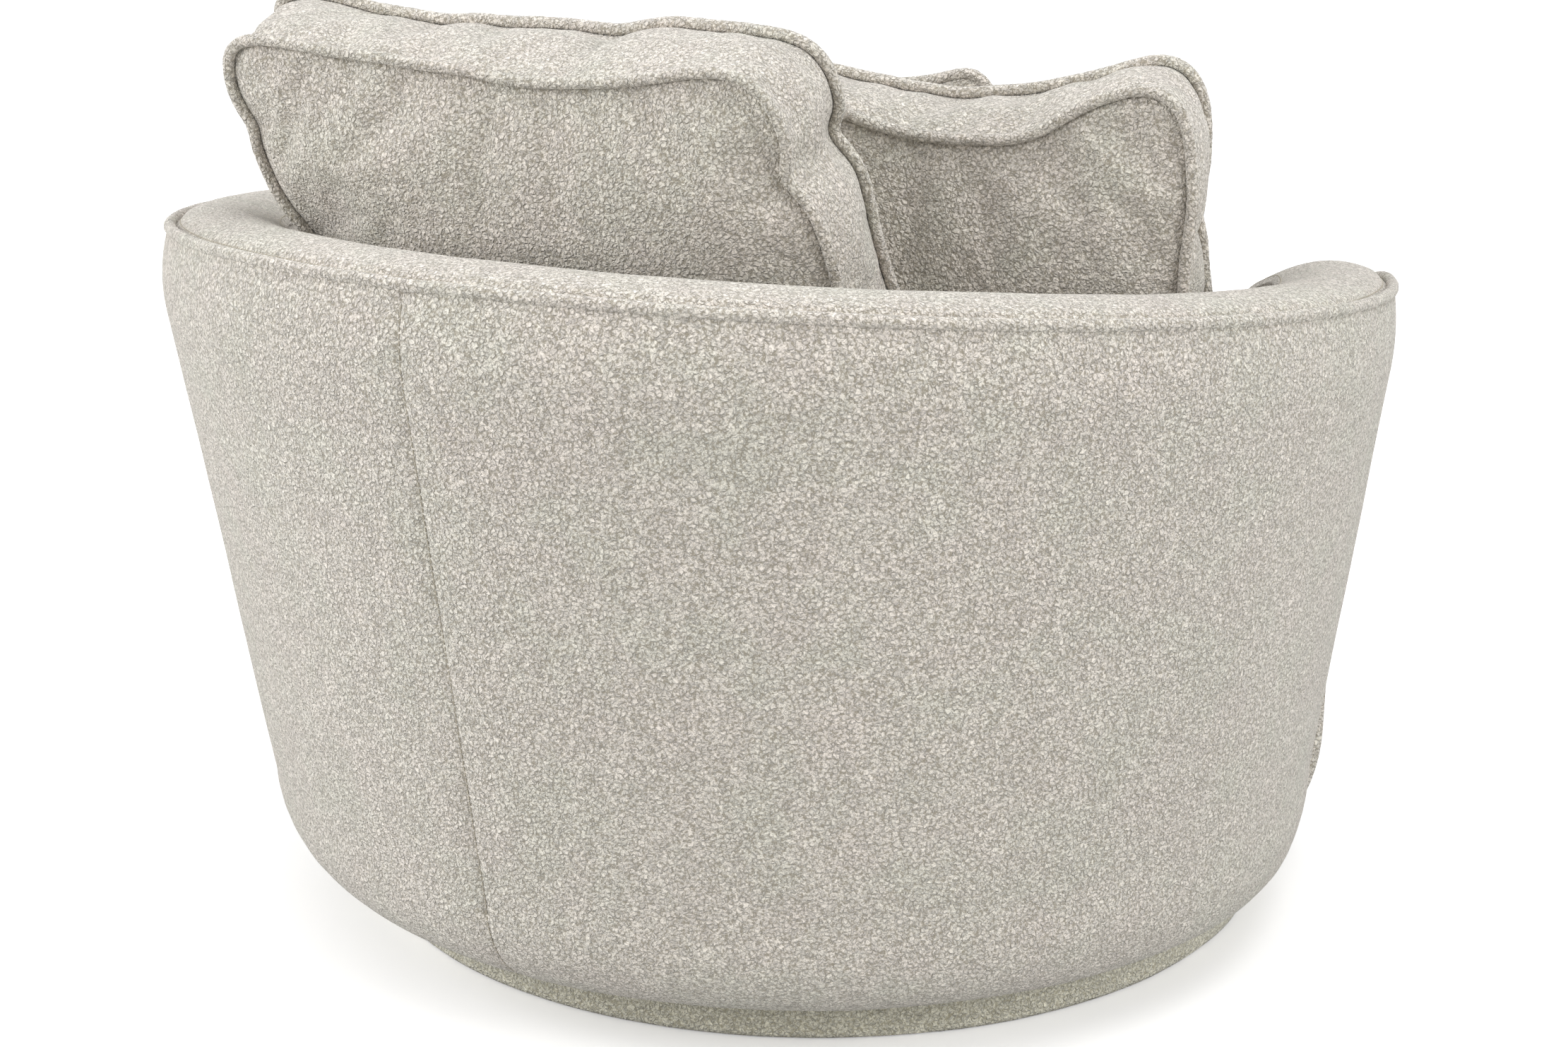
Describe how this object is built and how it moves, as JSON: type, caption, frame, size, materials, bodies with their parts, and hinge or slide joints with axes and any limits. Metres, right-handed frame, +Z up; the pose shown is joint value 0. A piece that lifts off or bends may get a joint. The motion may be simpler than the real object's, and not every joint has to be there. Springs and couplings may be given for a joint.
{
  "type": "cuddle chair",
  "caption": "Round barrel-backed upholstered cuddle chair on a recessed swivel plinth, with a loose seat cushion and scatter cushions",
  "frame": {"origin": "on the floor under the middle of the chair's box", "axes": "+Z up, the chair faces -Y and its back stands towards +Y, +X towards the sitter's left"},
  "size_m": [1.2098, 1.2322, 0.9371],
  "materials": {
    "boucle": "chunky ivory boucle weave, matt",
    "boucle_shade": "flat woven wrap in a darker greige, matt",
    "foam": "open-cell upholstery foam",
    "fibre": "white polyester fibre fill",
    "plywood": "raw birch plywood",
    "hardboard": "raw hardboard",
    "webbing": "black elastic webbing",
    "steel": "pressed steel",
    "zinc": "bright zinc plate",
    "glide": "moulded nylon"
  },
  "bodies": {
    "base": {"plinth_ring": "plywood", "plinth_board": "plywood", "plinth_cover": "boucle_shade", "glide_1": "glide", "glide_2": "glide", "glide_3": "glide", "glide_4": "glide", "swivel_lower_plate": "steel", "lower_bolt_1": "zinc", "lower_bolt_2": "zinc", "lower_bolt_3": "zinc", "lower_bolt_4": "zinc"},
    "bearing": {"ball_cage": "steel"},
    "tub": {"swivel_upper_plate": "steel", "upper_bolt_1": "zinc", "upper_bolt_2": "zinc", "upper_bolt_3": "zinc", "upper_bolt_4": "zinc", "seat_board": "plywood", "outer_cover_left": "boucle", "outer_cover_right": "boucle", "wall_skin_board": "hardboard", "wall_rib_1": "plywood", "wall_rib_2": "plywood", "wall_rib_3": "plywood", "wall_rib_4": "plywood", "wall_rib_5": "plywood", "wall_rib_6": "plywood", "wall_rib_7": "plywood", "top_rail": "plywood", "band_cover": "boucle", "band_foam": "foam", "rim_piping": "boucle", "inner_cover": "boucle", "inner_foam": "foam", "apron_cover": "boucle", "apron_foam": "foam", "apron_board": "plywood", "deck_pad": "foam", "rear_rail": "plywood", "seat_strap_1": "webbing", "seat_strap_2": "webbing", "seat_strap_3": "webbing", "seat_strap_4": "webbing", "seat_strap_5": "webbing"},
    "seat_cushion": {"seat_cushion_cover": "boucle", "seat_cushion_foam": "foam", "seat_piping_lower": "boucle", "seat_piping_upper": "boucle"},
    "scatter_large": {"scatter_large_cover": "boucle", "scatter_large_fill": "fibre", "scatter_large_piping_back": "boucle", "scatter_large_piping_front": "boucle"},
    "scatter_medium": {"scatter_medium_cover": "boucle", "scatter_medium_fill": "fibre", "scatter_medium_piping_back": "boucle", "scatter_medium_piping_front": "boucle"},
    "scatter_small": {"scatter_small_cover": "boucle", "scatter_small_fill": "fibre", "scatter_small_piping": "boucle"}
  },
  "joints": [
    {"name": "swivel", "type": "hinge", "parent": "base", "child": "tub", "pos_m": [0, -0.05956, 0.045], "axis": [0, 0, 1], "continuous": true},
    {"name": "bearing_turn", "type": "hinge", "parent": "base", "child": "bearing", "pos_m": [0, -0.05956, 0.045], "axis": [0, 0, 1], "continuous": true},
    {"name": "seat_cushion_lift", "type": "slide", "parent": "tub", "child": "seat_cushion", "axis": [0, 0, 1], "range_m": [0, 0.4]},
    {"name": "scatter_large_lift", "type": "slide", "parent": "seat_cushion", "child": "scatter_large", "axis": [-0.0298, 0.3407, 0.9397], "range_m": [0, 0.3]},
    {"name": "scatter_medium_lift", "type": "slide", "parent": "seat_cushion", "child": "scatter_medium", "axis": [-0.0289, 0.2059, 0.9781], "range_m": [0, 0.3]},
    {"name": "scatter_small_lift", "type": "slide", "parent": "seat_cushion", "child": "scatter_small", "axis": [-0.0135, 0.2585, 0.9659], "range_m": [0, 0.3]}
  ],
  "couplings": [
    {"joint": "bearing_turn", "follows": "swivel", "ratio": 0.5}
  ]
}
